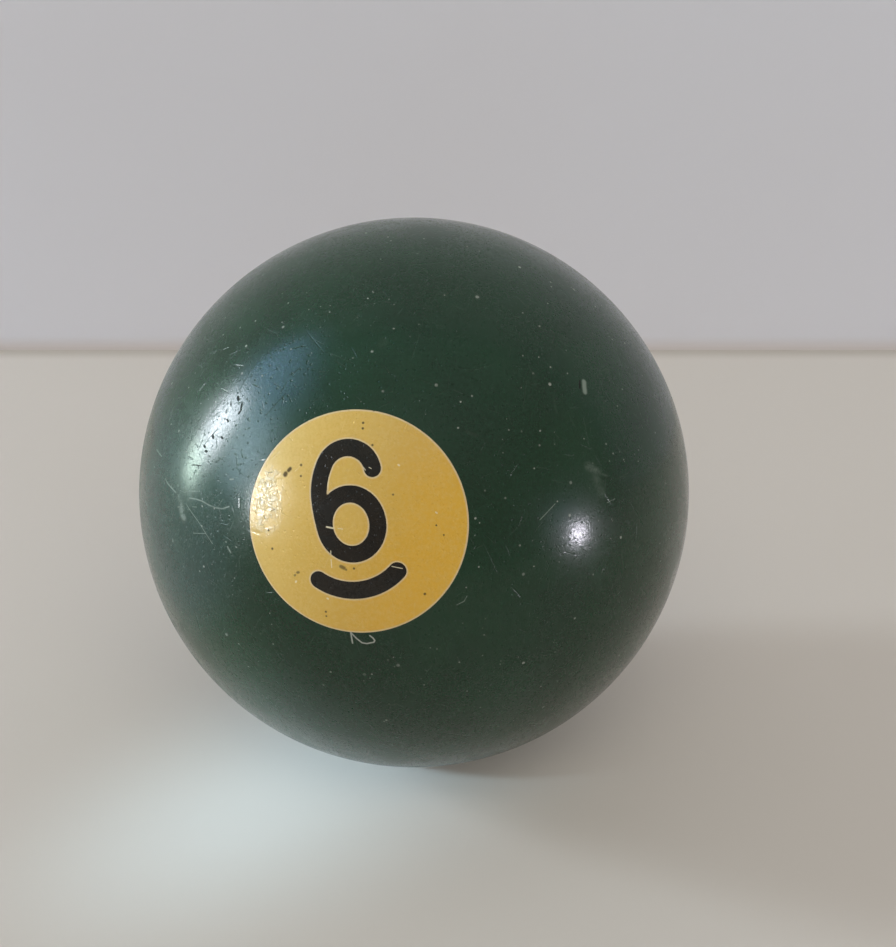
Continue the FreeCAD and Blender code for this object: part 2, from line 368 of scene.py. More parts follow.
class Nodes:
    """A short way to write a node tree: each call adds a node and returns its output."""

    def __init__(self, tree):
        self.tree = tree
        tree.nodes.clear()

    def add(self, kind, inputs=(), **settings):
        node = self.tree.nodes.new(kind)
        for name, value in settings.items():
            setattr(node, name, value)
        for key, value in dict(inputs).items():
            if isinstance(value, bpy.types.NodeSocket):
                self.tree.links.new(value, node.inputs[key])
            else:
                node.inputs[key].default_value = value
        return node

    def math(self, operation, *values, clamp=False):
        node = self.add("ShaderNodeMath", dict(enumerate(values)),
                        operation=operation, use_clamp=clamp)
        return node.outputs[0]

    def vector(self, operation, *values):
        node = self.add("ShaderNodeVectorMath", operation=operation)
        for index, value in enumerate(values):
            socket = node.inputs["Scale"] if operation == "SCALE" and index == 1 else None
            socket = socket or node.inputs[index]
            if isinstance(value, bpy.types.NodeSocket):
                self.tree.links.new(value, socket)
            else:
                socket.default_value = value
        single = operation in ("DOT_PRODUCT", "LENGTH", "DISTANCE")
        return node.outputs["Value" if single else "Vector"]

    def ramp(self, value, low, high, out_low=0.0, out_high=1.0):
        """A smooth step of a value between two limits."""
        node = self.add("ShaderNodeMapRange", {
            "Value": value, "From Min": low, "From Max": high,
            "To Min": out_low, "To Max": out_high,
        }, interpolation_type="SMOOTHSTEP")
        return node.outputs["Result"]

    def noise(self, where, scale, detail=2.0, rough=0.5, shift=(0, 0, 0)):
        moved = self.vector("ADD", where, shift)
        node = self.add("ShaderNodeTexNoise", {
            "Vector": moved, "Scale": scale, "Detail": detail, "Roughness": rough,
        })
        return node.outputs["Fac"]

    def mix(self, factor, first, second):
        node = self.add("ShaderNodeMix", data_type="RGBA")
        for key, value in (("Factor", factor), ("A", first), ("B", second)):
            socket = next(s for s in node.inputs if s.name == key and s.enabled)
            if isinstance(value, bpy.types.NodeSocket):
                self.tree.links.new(value, socket)
            elif key == "Factor":
                socket.default_value = value
            else:
                socket.default_value = (*value, 1.0)
        return next(s for s in node.outputs if s.enabled)

    def most(self, *values):
        total = values[0]
        for value in values[1:]:
            total = self.math("MAXIMUM", total, value)
        return total


def new_material(name):
    material = bpy.data.materials.new(name)
    material.use_nodes = True
    return material, Nodes(material.node_tree)


# ------------------------------------------------------------------ wear, in millimetres

def cells(n, where, size, shift):
    """Scattered cells: the vector from each cell's centre, in mm, and three random numbers."""
    moved = n.vector("ADD", n.vector("SCALE", where, 1 / size), shift)
    node = n.add("ShaderNodeTexVoronoi", {"Vector": moved, "Scale": 1.0, "Randomness": 1.0},
                 feature="F1", distance="EUCLIDEAN")
    local = n.vector("SCALE", n.vector("SUBTRACT", moved, node.outputs["Position"]), size)
    random = n.add("ShaderNodeSeparateColor", {"Color": node.outputs["Color"]})
    return local, node.outputs["Color"], random.outputs


def straight_scratches(n, where, size, width, share, shift):
    """One straight fine scratch in some of the cells, each with its own direction."""
    local, colour, random = cells(n, where, size, shift)
    lean = n.vector("NORMALIZE", n.vector("SUBTRACT", colour, (0.5, 0.5, 0.5)))
    off_line = n.math("ABSOLUTE", n.vector("DOT_PRODUCT", local, lean))
    thin = n.ramp(off_line, width, width * 0.3)
    reach = n.ramp(n.vector("LENGTH", local), size * 0.55, size * 0.25)
    chosen = n.math("LESS_THAN", random[2], share)
    return n.math("MULTIPLY", n.math("MULTIPLY", thin, reach), chosen)


def specks(n, where, size, radius, share, shift):
    """Small round spots in some of the cells, from a third of the radius to all of it."""
    local, _, random = cells(n, where, size, shift)
    own_radius = n.math("MULTIPLY_ADD", random[0], radius * 0.67, radius * 0.33)
    distance = n.vector("LENGTH", local)
    speck = n.ramp(n.math("DIVIDE", distance, own_radius), 1.0, 0.55)
    chosen = n.math("LESS_THAN", random[1], share)
    return n.math("MULTIPLY", speck, chosen)


def ball_point(azimuth, elevation):
    """A point of the ball's surface, in mm: azimuth 0 is towards -Y and 90 towards +X."""
    a, e = math.radians(azimuth), math.radians(elevation)
    return Vector((math.sin(a) * math.cos(e), -math.cos(a) * math.cos(e), math.sin(e))) * BALL_RADIUS


def disc_point(right, up):
    """A point of the front plug's face, in mm, from its place beside the numeral's middle."""
    flat = Vector((right, up, math.sqrt(BALL_RADIUS**2 - right**2 - up**2)))
    return attitude("front") @ flat


def front_half(n, where):
    """A position on the front half of the ball, as it is, and one far off for the back half:
    without it, mark() would draw each mark again at the opposite point of the ball."""
    depth = n.add("ShaderNodeSeparateXYZ", {"Vector": where}).outputs["Y"]
    behind = n.math("GREATER_THAN", depth, 0.0)
    away = n.add("ShaderNodeCombineXYZ", {"X": behind, "Y": behind, "Z": behind})
    return n.vector("MULTIPLY_ADD", away.outputs["Vector"], (1000, 700, 1300), where)


def mark(n, where, start, end, width, core=0.33):
    """A round-ended scratch along the ball between two of its points. core is the share of
    its width that is full strength."""
    along = end - start
    across = start.cross(end).normalized()
    off_line = n.vector("DOT_PRODUCT", where, across)
    reach = n.vector("DOT_PRODUCT", n.vector("SUBTRACT", where, (start + end) / 2),
                     along.normalized())
    past_end = n.math("SUBTRACT", n.math("ABSOLUTE", reach), along.length / 2)
    past_end = n.math("MAXIMUM", past_end, 0.0)
    gap = n.add("ShaderNodeCombineXYZ", {"X": off_line, "Y": past_end}).outputs["Vector"]
    return n.ramp(n.vector("LENGTH", gap), width / 2, core * width / 2)


def spot(n, where, centre, radius):
    """A round mark that is full strength out to 0.4 of its radius."""
    return n.ramp(n.vector("DISTANCE", where, centre), radius, radius * 0.4)


def trail(n, where, points, width):
    """A scratch or fibre through several points of the ball."""
    return n.most(*[mark(n, where, a, b, width) for a, b in zip(points, points[1:])])


def row_position(n):
    """Where a point is in the row frame, in millimetres."""
    coordinates = n.add("ShaderNodeTexCoord")
    return n.vector("SCALE", coordinates.outputs["Object"], 1 / MM)


# ------------------------------------------------------------------ colours and marks

GREEN = (0.0056, 0.0370, 0.0145)
GREEN_DEEP = (0.0034, 0.0255, 0.0092)
GREEN_PALE = (0.0100, 0.0480, 0.0250)
# CREAM_DEEP, CREAM and CREAM_PALE also carry painted light on the plugs: deeper on the shaded right
# and bottom, paler on the lit left and top.
CREAM = (0.750, 0.488, 0.110)
CREAM_DEEP = (0.800, 0.462, 0.052)
CREAM_PALE = (0.850, 0.660, 0.270)
EDGE_HIGHLIGHT_PALE = (0.830, 0.680, 0.480)
CHIP_PALE = (0.930, 0.850, 0.640)
INK = (0.0060, 0.0048, 0.0030)
INK_BROWN = (0.0120, 0.0080, 0.0040)
DIRT = (0.034, 0.019, 0.006)
DUST = (0.46, 0.48, 0.45)
SCRATCH_PALE = (0.30, 0.33, 0.30)
WORN_PALE = (0.30, 0.36, 0.32)

# A thin bloom on the left flank, round the scratches, tinted blue as a painted sheen of the window
# light there: azimuth and elevation of its middle and its radius in mm, then its colour and share.
BLOOM_SHEEN = (-45.0, 11.0, 13.5)
BLOOM_SHEEN_PALE = (0.32, 0.49, 0.60)
BLOOM_SHEEN_SHARE = 0.075

# Marks seen in the photograph, as points of the ball (azimuth, elevation), then width in mm.
# A scuff also has a strength.
SCRATCHES = [
    (((-50.6, 18.4), (-49.2, 18.1), (-45.3, 18.0)), 0.24),
    (((-45.1, 19.6), (-45.0, 19.4)), 0.26),
    (((-43.9, 19.0), (-42.2, 19.3), (-40.5, 20.3)), 0.09),
    (((-40.2, 20.4), (-37.4, 21.5)), 0.13),
    (((-40.1, 19.0), (-38.1, 19.6), (-36.0, 20.0), (-33.8, 20.0), (-31.8, 20.2),
      (-30.0, 20.6), (-28.3, 21.6)), 0.18),
    (((-40.8, 17.5), (-35.3, 15.6), (-31.0, 13.2)), 0.12),
    (((-59.2, 20.8), (-55.3, 21.1)), 0.20),
    (((-59.6, 8.9), (-57.5, 8.7)), 0.26),
    (((-43.4, 15.7), (-41.7, 16.5)), 0.12),
    (((-38.6, 17.8), (-37.2, 18.3)), 0.10),
    (((-36.9, 13.0), (-33.2, 14.4)), 0.09),
    (((-26.9, 14.0), (-26.0, 13.2)), 0.24),
    (((-27.6, 14.8), (-27.4, 14.8)), 0.24),
    (((-24.9, 14.7), (-24.7, 14.7)), 0.20),
    (((-29.9, 26.5), (-29.0, 26.8)), 0.20),
    (((-24.9, 25.6), (-24.0, 24.9)), 0.20),
    (((38.1, 22.5), (42.2, 24.6)), 0.10),
    (((55.0, 21.0), (57.3, 20.9)), 0.08),
    (((20.0, 9.0), (21.4, 9.6), (22.0, 10.6)), 0.11),
]
FIBRES = [
    ((0.2, 3.0), (1.3, 1.8), (2.3, 1.0), (3.2, 0.9), (4.5, 1.3), (4.7, 1.7), (4.4, 2.2),
     (3.8, 2.7)),
    ((0.2, 3.0), (0.5, 0.7)),
]
SCUFFS = [
    ((-43.8, 17.7), (-42.3, 16.3), 1.20, 0.45),
    ((-42.3, 16.3), (-40.8, 14.6), 1.50, 0.90),
    ((52.7, 29.0), (54.8, 27.2), 1.30, 0.42),
    ((53.8, 26.2), (54.2, 23.2), 1.80, 0.22),
    ((55.8, 26.4), (57.0, 25.6), 0.35, 0.30),
]
NICK = ((63.1, 43.4), (62.1, 42.5), (61.4, 41.7))
# NICK_SHADE is painted shade: a dark line on the shaded side of the nick.
NICK_SHADE = ((61.9, 44.0), (60.5, 42.8))
HOLES = [
    ((-42.3, 25.0), (-39.4, 26.0), 0.10),
    ((-37.5, 41.0), (-36.9, 40.6), 0.34),
    ((-35.1, 40.3), (-34.7, 39.4), 0.24),
    ((-34.4, 39.2), (-34.6, 38.4), 0.22),
    ((-39.4, 32.2), (-38.9, 32.0), 0.34),
    ((-38.6, 39.2), (-38.2, 39.0), 0.20),
    ((-40.8, 29.6), (-40.2, 29.5), 0.26),
    ((-36.6, 32.9), (-36.0, 32.8), 0.22),
    ((-39.7, 28.9), (-39.1, 29.0), 0.24),
    ((-37.2, 36.3), (-36.6, 36.1), 0.22),
]

# Marks on the front plug: their two ends beside the numeral's middle, then width, all in mm.
# A dirt patch also has a strength, and a dirt spot has one place and a radius.
DIRT_PATCHES = [
    ((-6.00, 5.16), (-5.94, 5.24), 0.66, 1.0),
    ((-5.62, 5.50), (-5.44, 5.64), 0.52, 1.0),
    ((-6.10, -3.92), (-5.98, -3.90), 0.36, 0.8),
    ((-6.42, -4.16), (-6.36, -4.12), 0.30, 0.7),
    ((-1.78, -3.74), (-1.52, -3.92), 0.50, 0.8),
    ((-1.40, -4.05), (-1.34, -4.10), 0.30, 0.7),
    ((-7.70, 5.50), (-7.30, 5.50), 0.16, 0.6),
    ((-8.10, 4.65), (-8.04, 4.50), 0.17, 0.45),
    ((-8.80, 3.30), (-8.68, 3.05), 0.20, 0.6),
    ((-6.95, 3.80), (-6.92, 3.60), 0.17, 0.5),
    ((-7.72, 2.62), (-7.58, 2.64), 0.17, 0.5),
    ((-7.85, 1.98), (-7.45, 2.10), 0.15, 0.6),
    ((-8.62, 1.58), (-8.52, 1.38), 0.19, 0.6),
    ((-8.95, 0.76), (-8.75, 0.80), 0.14, 0.5),
]
# The worn face is partly wear and partly a painted highlight: its two ends and width.
WORN_FACE_AND_HIGHLIGHT = ((-7.70, 4.60), (-8.60, 1.30), 4.00)
DIRT_SPOTS = [
    (-4.33, 5.86, 0.17),
    (-4.45, 4.87, 0.15),
    (1.84, 8.94, 0.16),
    (1.78, 8.45, 0.16),
    (2.54, 6.85, 0.15),
    (3.95, 2.20, 0.13),
    (7.91, -2.06, 0.12),
    (5.37, -7.25, 0.17),
    (-8.33, 0.24, 0.14),
    (-8.24, -1.49, 0.17),
    (-0.59, -4.06, 0.15),
    (-4.07, -7.87, 0.15),
    (-4.12, -8.30, 0.13),
]
PLUG_CHIPS = [
    ((4.70, 4.80), (4.78, 4.72), 0.22),
    ((7.50, 0.10), (7.60, 0.00), 0.20),
    ((-6.45, -4.80), (-6.38, -4.72), 0.24),
    ((-3.66, -6.60), (-3.58, -6.66), 0.24),
    ((-2.60, -3.00), (-2.66, -3.75), 0.13),
    ((-1.50, -0.24), (-1.05, -0.34), 0.10),
]
INLAY_NICKS = [
    ((-2.55, 0.02), (-1.95, -0.16), 0.22),
    ((-2.10, -0.14), (-1.45, -0.26), 0.12),
    ((-2.50, -2.20), (-2.60, -3.10), 0.12),
    ((2.90, -4.28), (3.80, -4.60), 0.11),
    ((1.55, 4.95), (1.70, 4.70), 0.10),
    ((2.05, 4.90), (2.25, 4.78), 0.10),
]


# ------------------------------------------------------------------ materials

HAZE_IOR = 1.34
SHINE_IOR = 1.5
SHINE_ROUGHNESS = 0.06


def finish(n, colour, roughness, height, shine):
    """A polished cast resin: a hazy base gloss under a sharp one, both over the same relief."""
    bump = n.add("ShaderNodeBump", {"Strength": 1.0, "Distance": MM, "Height": height})
    shader = n.add("ShaderNodeBsdfPrincipled", {
        "Base Color": colour,
        "Roughness": roughness,
        "IOR": HAZE_IOR,
        "Coat Weight": shine,
        "Coat Roughness": SHINE_ROUGHNESS,
        "Coat IOR": SHINE_IOR,
        "Normal": bump.outputs["Normal"],
        "Coat Normal": bump.outputs["Normal"],
    })
    n.add("ShaderNodeOutputMaterial", {"Surface": shader.outputs["BSDF"]})


def fine_wear(n, where):
    """What years of play leave all over the ball: hair scratches, pinprick pits, and a
    matt grain where the polish has gone."""
    scratches = n.most(
        straight_scratches(n, where, 4.0, 0.060, 0.50, (3.1, 5.2, 1.3)),
        straight_scratches(n, where, 1.6, 0.055, 0.70, (8.4, 2.9, 6.7)),
    )
    pits = n.most(
        specks(n, where, 0.42, 0.145, 0.80, (5.5, 1.5, 2.5)),
        specks(n, where, 0.85, 0.155, 0.30, (2.5, 8.5, 4.5)),
    )
    grain = n.ramp(n.noise(where, 4.2, 2.0, 0.7, (7, 1, 4)), 0.40, 0.60)
    return scratches, pits, grain


def relief(n, where, scratches, pits):
    """Height in mm of the fine wear, with the slight unevenness of a worn polish."""
    height = n.math("MULTIPLY", scratches, -0.0120)
    height = n.math("MULTIPLY_ADD", pits, -0.0200, height)
    ripple = n.noise(where, 6.0, 1.0, 0.6, (3, 3, 3))
    return n.math("MULTIPLY_ADD", ripple, 0.0080, height)


def worn_gloss(n, scratches, pits, grain, spoilt):
    """Weight of the sharp gloss: less in the scratches, the pits and the grain, and nearly
    none where the surface is spoilt."""
    lost = n.math("MULTIPLY", grain, 0.24)
    lost = n.math("MULTIPLY_ADD", scratches, 0.20, lost)
    lost = n.math("MULTIPLY_ADD", pits, 0.35, lost)
    lost = n.math("MULTIPLY_ADD", spoilt, 0.50, lost)
    return n.math("MAXIMUM", n.math("SUBTRACT", 0.49, lost), 0.02)


def worn_roughness(n, where, grain, spoilt, shift):
    """Roughness of the haze: smeared by handling, grainy, and matt where it is spoilt."""
    smear = n.ramp(n.noise(where, 0.25, 4.0, 0.6, shift), 0.3, 0.7, 0.20, 0.29)
    smear = n.math("MULTIPLY_ADD", grain, 0.05, smear)
    return n.math("MAXIMUM", smear, n.math("MULTIPLY", spoilt, 0.75))


def green_resin():
    """Dark green phenolic, scuffed and a little bloomed on its left side with a painted bluish
    sheen, and dusty on top.
    """
    material, n = new_material("green_phenolic")
    where = row_position(n)
    up = n.add("ShaderNodeSeparateXYZ", {"Vector": where}).outputs["Z"]

    cloud = n.ramp(n.noise(where, 0.09, 3.0, 0.55), 0.35, 0.65)
    mottle = n.noise(where, 3.4, 3.0, 0.7, (4, 4, 4))
    colour = n.mix(cloud, GREEN_DEEP, GREEN)
    colour = n.mix(n.ramp(mottle, 0.35, 0.70, 0.0, 0.60), colour, GREEN_PALE)
    # Painted sheen: a pale bluish tint on the left flank, partly bloom round the scratches.
    azimuth, elevation, radius = BLOOM_SHEEN
    bloom_sheen = spot(n, where, ball_point(azimuth, elevation), radius)
    bloom_sheen = n.math("MULTIPLY", bloom_sheen, n.ramp(mottle, 0.30, 0.70, 0.6, 1.2))
    colour = n.mix(n.math("MULTIPLY", bloom_sheen, BLOOM_SHEEN_SHARE), colour, BLOOM_SHEEN_PALE)

    scratches, pits, grain = fine_wear(n, where)

    front = front_half(n, where)
    gouges = n.most(*[trail(n, front, [ball_point(*point) for point in points], width)
                      for points, width in SCRATCHES])
    patchy = n.ramp(n.noise(where, 2.4, 2.0, 0.6, (6, 2, 1)), 0.30, 0.55, 0.45, 1.0)
    gouges = n.math("MULTIPLY", gouges, patchy)
    fibre = n.most(*[trail(n, front, [ball_point(*point) for point in points], 0.20)
                     for points in FIBRES])
    frayed = n.ramp(n.noise(where, 3.0, 3.0, 0.7, (1, 2, 3)), 0.30, 0.65, 0.2, 1.0)
    scuffs = n.most(*[n.math("MULTIPLY", mark(n, front, ball_point(*a), ball_point(*b), width, 0.0),
                             strength)
                      for a, b, width, strength in SCUFFS])
    scuffs = n.math("MULTIPLY", scuffs, frayed)
    nick = trail(n, front, [ball_point(*point) for point in NICK], 0.72)
    # Dark holes, with the nick's painted shade line drawn in the same dark colour.
    holes_and_nick_shade = n.most(*[mark(n, front, ball_point(*a), ball_point(*b), width)
                     for a, b, width in HOLES],
                   trail(n, front, [ball_point(*point) for point in NICK_SHADE], 0.24))
    worn = n.most(gouges, scuffs, nick)

    dust_amount = n.ramp(up, -24.0, 16.0, 0.2, 1.0)
    dim = n.ramp(n.noise(where, 0.7, 1.0, 0.5, (8, 3, 2)), 0.32, 0.58, 0.35, 1.0)
    dust = n.math("MULTIPLY", n.most(
        specks(n, where, 0.80, 0.130, 0.30, (0.5, 7.5, 3.3)),
        specks(n, where, 1.60, 0.230, 0.46, (6.1, 0.9, 8.8)),
    ), n.math("MULTIPLY", dust_amount, dim))

    colour = n.mix(n.math("MULTIPLY", scratches, 0.05), colour, SCRATCH_PALE)
    colour = n.mix(n.math("MULTIPLY", worn, 0.75), colour, WORN_PALE)
    colour = n.mix(n.math("MULTIPLY", dust, 0.75), colour, DUST)
    colour = n.mix(n.math("MULTIPLY", fibre, 0.9), colour, DUST)
    colour = n.mix(holes_and_nick_shade, colour, INK)

    spoilt = n.most(worn, dust, fibre, holes_and_nick_shade)
    gloss = worn_gloss(n, scratches, pits, grain, spoilt)
    gloss = n.math("MULTIPLY", gloss, n.ramp(up, -26.0, -6.0, 0.45, 1.0))
    roughness = worn_roughness(n, where, grain, spoilt, (9, 1, 5))
    height = n.math("MULTIPLY_ADD", holes_and_nick_shade, -0.0300, relief(n, where, scratches, pits))
    finish(n, colour, roughness, height, gloss)
    return material


def cream_resin():
    """Aged yellow phenolic of the number plugs, with dirt in its pits. Painted light: paler to the
    left of the numeral and upwards, with a painted highlight along every edge and on the worn face."""
    material, n = new_material("aged_cream_phenolic")
    where = row_position(n)
    cloud = n.noise(where, 0.16, 3.0, 0.55, (5, 2, 8))
    # Painted light: paler to the left and upwards, where the light falls, deeper to the right and
    # below; the cloud adds a random tone.
    leftward = n.vector("DOT_PRODUCT", where, -(disc_point(1, 0) - disc_point(-1, 0)) / 2)
    upward = n.vector("DOT_PRODUCT", where, (disc_point(0, 1) - disc_point(0, -1)) / 2)
    painted_light_side_and_tone = n.math("MULTIPLY_ADD", upward, 0.55, leftward)
    painted_light_side_and_tone = n.math("MULTIPLY_ADD", cloud, 6.0, painted_light_side_and_tone)
    colour = n.mix(n.ramp(painted_light_side_and_tone, -6.0, 5.0), CREAM_DEEP, CREAM)
    colour = n.mix(n.ramp(painted_light_side_and_tone, 5.0, 16.0, 0.0, 0.45), colour, CREAM_PALE)
    mottle = n.noise(where, 2.6, 3.0, 0.7, (2, 7, 4))
    colour = n.mix(n.ramp(mottle, 0.35, 0.8, 0.0, 0.30), colour, CREAM_PALE)
    # Painted highlight: a pale band along every outline of the plug and round the numeral.
    edge = n.add("ShaderNodeAttribute", attribute_name="painted_edge_highlight").outputs["Fac"]
    colour = n.mix(n.ramp(edge, 0.0, 0.75, 0.0, 0.68), colour, EDGE_HIGHLIGHT_PALE)

    scratches, pits, grain = fine_wear(n, where)
    front = front_half(n, where)
    patches = n.most(*[n.math("MULTIPLY", mark(n, front, disc_point(*a), disc_point(*b), width),
                              strength)
                       for a, b, width, strength in DIRT_PATCHES])
    flaked = n.ramp(n.noise(where, 2.3, 3.0, 0.7, (2, 5, 2)), 0.42, 0.58)
    # Worn face left of the numeral: partly wear, partly a painted highlight, whitish flakes where a
    # window's reflection falls.
    start, end, width = WORN_FACE_AND_HIGHLIGHT
    ragged = n.ramp(n.noise(where, 0.8, 2.0, 0.6, (3, 1, 6)), 0.36, 0.56)
    worn = mark(n, front, disc_point(*start), disc_point(*end), width, 0.15)
    worn = n.math("MULTIPLY", worn, ragged)
    flakes_and_highlight = n.math("MULTIPLY", worn, flaked)
    dirt = n.most(
        specks(n, where, 2.4, 0.16, 0.30, (4.5, 6.5, 0.5)),
        *[spot(n, where, disc_point(*place), radius) for *place, radius in DIRT_SPOTS],
        patches,
    )
    chips = n.most(*[mark(n, front, disc_point(*a), disc_point(*b), width)
                     for a, b, width in PLUG_CHIPS])
    colour = n.mix(n.math("MULTIPLY", scratches, 0.16), colour, CREAM_PALE)
    colour = n.mix(n.math("MULTIPLY", worn, 0.25), colour, CHIP_PALE)
    colour = n.mix(n.math("MULTIPLY", n.most(chips, flakes_and_highlight), 0.75), colour, CHIP_PALE)
    colour = n.mix(n.math("MULTIPLY", dirt, 0.88), colour, DIRT)

    gloss = worn_gloss(n, scratches, pits, grain, dirt)
    roughness = worn_roughness(n, where, grain, dirt, (6, 1, 2))
    height = n.math("MULTIPLY_ADD", flakes_and_highlight, 0.0300, relief(n, where, scratches, pits))
    finish(n, colour, roughness, height, gloss)
    return material


def black_resin():
    """Brown-black phenolic of the numeral and its bar, with pale nicks."""
    material, n = new_material("brown_black_phenolic")
    where = row_position(n)
    cloud = n.noise(where, 0.7, 3.0, 0.6, (3, 8, 1))
    colour = n.mix(n.ramp(cloud, 0.3, 0.7), INK, INK_BROWN)
    scratches, pits, grain = fine_wear(n, where)
    scratches = n.math("MULTIPLY", scratches, 0.3)
    front = front_half(n, where)
    nicks = n.most(*[mark(n, front, disc_point(*a), disc_point(*b), width)
                     for a, b, width in INLAY_NICKS])
    colour = n.mix(n.math("MULTIPLY", scratches, 0.03), colour, SCRATCH_PALE)
    colour = n.mix(n.math("MULTIPLY", nicks, 0.8), colour, CHIP_PALE)
    gloss = worn_gloss(n, scratches, pits, grain, nicks)
    roughness = worn_roughness(n, where, grain, nicks, (6, 1, 2))
    finish(n, colour, roughness, relief(n, where, scratches, pits), gloss)
    return material


# ------------------------------------------------------------------ the ball

def build_ball():
    green, cream, black = green_resin(), cream_resin(), black_resin()
    body = make_body(green)
    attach(body, "root")
    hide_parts("ball_body")
    for side in ("front", "back"):
        plug = make_plug(side, cream)
        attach(plug, "root")
        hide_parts("number_plug_" + side)
        numeral_loops = [(NUMERAL_OUTER, 1), (COUNTER, -1)]
        numeral = make_inlay("six", side, black, numeral_loops, in_numeral)
        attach(numeral, "root")
        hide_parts("numeral_six_" + side)
        bar = make_inlay("bar", side, black, [(UNDERLINE, 1)], in_underline)
        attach(bar, "root")
        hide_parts("underline_bar_" + side)


# ------------------------------------------------------------------ camera

LENS_MM = 74.5
SENSOR_MM = 36
CAMERA_AZIMUTH = math.radians(11.24)
CAMERA_ELEVATION = math.radians(30.0)
CAMERA_DISTANCE = 205.7 * MM
CAMERA_ASIDE = 3.5 * MM
CAMERA_ABOVE = 1.95 * MM


def make_camera():
    turn = Matrix.Rotation(CAMERA_AZIMUTH, 4, "Z")
    pitch = Matrix.Rotation(math.pi / 2 - CAMERA_ELEVATION, 4, "X")
    step_back = Matrix.Translation((CAMERA_ASIDE, CAMERA_ABOVE, CAMERA_DISTANCE))
    data = bpy.data.cameras.new("camera")
    data.lens = LENS_MM
    data.sensor_width = SENSOR_MM
    data.clip_start = 0.01
    data.clip_end = 20
    camera = bpy.data.objects.new("camera", data)
    camera.matrix_world = turn @ pitch @ step_back
    bpy.context.scene.collection.objects.link(camera)
    bpy.context.scene.camera = camera


# ------------------------------------------------------------------ stage and light

FLOOR = -BALL_RADIUS * MM
WALL_BEHIND = 91 * MM
WALL_HEIGHT = 0.9
STAGE_REACH = 1.6
FLOOR_COLOURS = ((0.560, 0.508, 0.482), (0.585, 0.536, 0.514))
# The floor glows with painted light, stronger towards the wall, to lighten the ball's shadow: its
# colour, strengths and span.
FLOOR_GLOW = (1.0, 0.95, 0.84, 1.0)
FLOOR_LIFT = (0.066, 0.096)
FLOOR_LIFT_SPAN = (-120 * MM, 60 * MM)
# Painted shade along the floor where it meets the wall: its width and colour.
CREASE_FLOOR = 3.6 * MM
CREASE_SHADE_COLOUR = (0.390, 0.345, 0.315)
WALL_COLOURS = ((0.668, 0.661, 0.738), (0.690, 0.698, 0.798))
WALL_GLOW = (0.95, 0.97, 1.0, 1.0)
WALL_LIFT = 0.122
# Painted shade at the wall's foot: its height and colour.
CREASE_WALL = 2.6 * MM
WALL_FOOT_SHADE = (0.42, 0.37, 0.34, 1.0)


def turned(point):
    """A point or direction turned about the vertical, as the camera is."""
    return Matrix.Rotation(CAMERA_AZIMUTH, 3, "Z") @ point


def panel(name, corners, material):
    mesh = bpy.data.meshes.new(name)
    mesh.from_pydata([tuple(corner) for corner in corners], [], [(0, 1, 2, 3)])
    mesh.materials.append(material)
    board = bpy.data.objects.new(name, mesh)
    bpy.context.scene.collection.objects.link(board)
    return board


def paper_material():
    """The floor: plain and pale with a faint unevenness, glowing with painted light a little
    stronger towards the wall, and with painted shade along the wall's foot."""
    material, n = new_material("pale_surface")
    coordinates = n.add("ShaderNodeTexCoord").outputs["Object"]
    tint = n.noise(coordinates, 9.0, 2.0, 0.5)
    colour = n.mix(n.ramp(tint, 0.3, 0.7), *FLOOR_COLOURS)
    behind = n.vector("DOT_PRODUCT", coordinates, turned(Vector((0, 1, 0))))
    # Painted shade in the crease where the floor meets the wall.
    crease_shade = n.ramp(n.math("SUBTRACT", WALL_BEHIND, behind), 0.0, CREASE_FLOOR, 0.9, 0.0)
    colour = n.mix(crease_shade, colour, CREASE_SHADE_COLOUR)
    # Painted light: the floor's own glow, stronger towards the wall.
    painted_floor_glow = n.ramp(behind, *FLOOR_LIFT_SPAN, *FLOOR_LIFT)
    shader = n.add("ShaderNodeBsdfPrincipled", {
        "Base Color": colour, "Roughness": 0.9, "Specular IOR Level": 0.0,
        "Emission Color": FLOOR_GLOW, "Emission Strength": painted_floor_glow,
    })
    n.add("ShaderNodeOutputMaterial", {"Surface": shader.outputs["BSDF"]})
    return material


def wall_material():
    """A cooler pale surface seen from in front, with painted shade at its foot, and nothing from
    behind.
    """
    material, n = new_material("pale_wall")
    coordinates = n.add("ShaderNodeTexCoord").outputs["Object"]
    tint = n.noise(coordinates, 7.0, 2.0, 0.5)
    colour = n.mix(n.ramp(tint, 0.3, 0.7), *WALL_COLOURS)
    front = n.add("ShaderNodeBsdfDiffuse", {"Color": colour})
    glow = n.add("ShaderNodeEmission", {"Color": WALL_GLOW, "Strength": WALL_LIFT})
    lit = n.add("ShaderNodeAddShader", {0: front.outputs[0], 1: glow.outputs[0]})
    # Painted shade: a dark emission replaces the lit wall near its foot.
    height = n.add("ShaderNodeSeparateXYZ", {"Vector": coordinates}).outputs["Z"]
    foot = n.ramp(height, FLOOR, FLOOR + CREASE_WALL, 1.0, 0.0)
    dark = n.add("ShaderNodeEmission", {"Color": WALL_FOOT_SHADE, "Strength": 1.0})
    lit = n.add("ShaderNodeMixShader", {0: n.math("MULTIPLY", foot, 0.8), 1: lit.outputs[0],
                                        2: dark.outputs[0]})
    clear = n.add("ShaderNodeBsdfTransparent")
    side = n.add("ShaderNodeNewGeometry").outputs["Backfacing"]
    both = n.add("ShaderNodeMixShader", {0: side, 1: lit.outputs[0], 2: clear.outputs[0]})
    n.add("ShaderNodeOutputMaterial", {"Surface": both.outputs[0]})
    return material


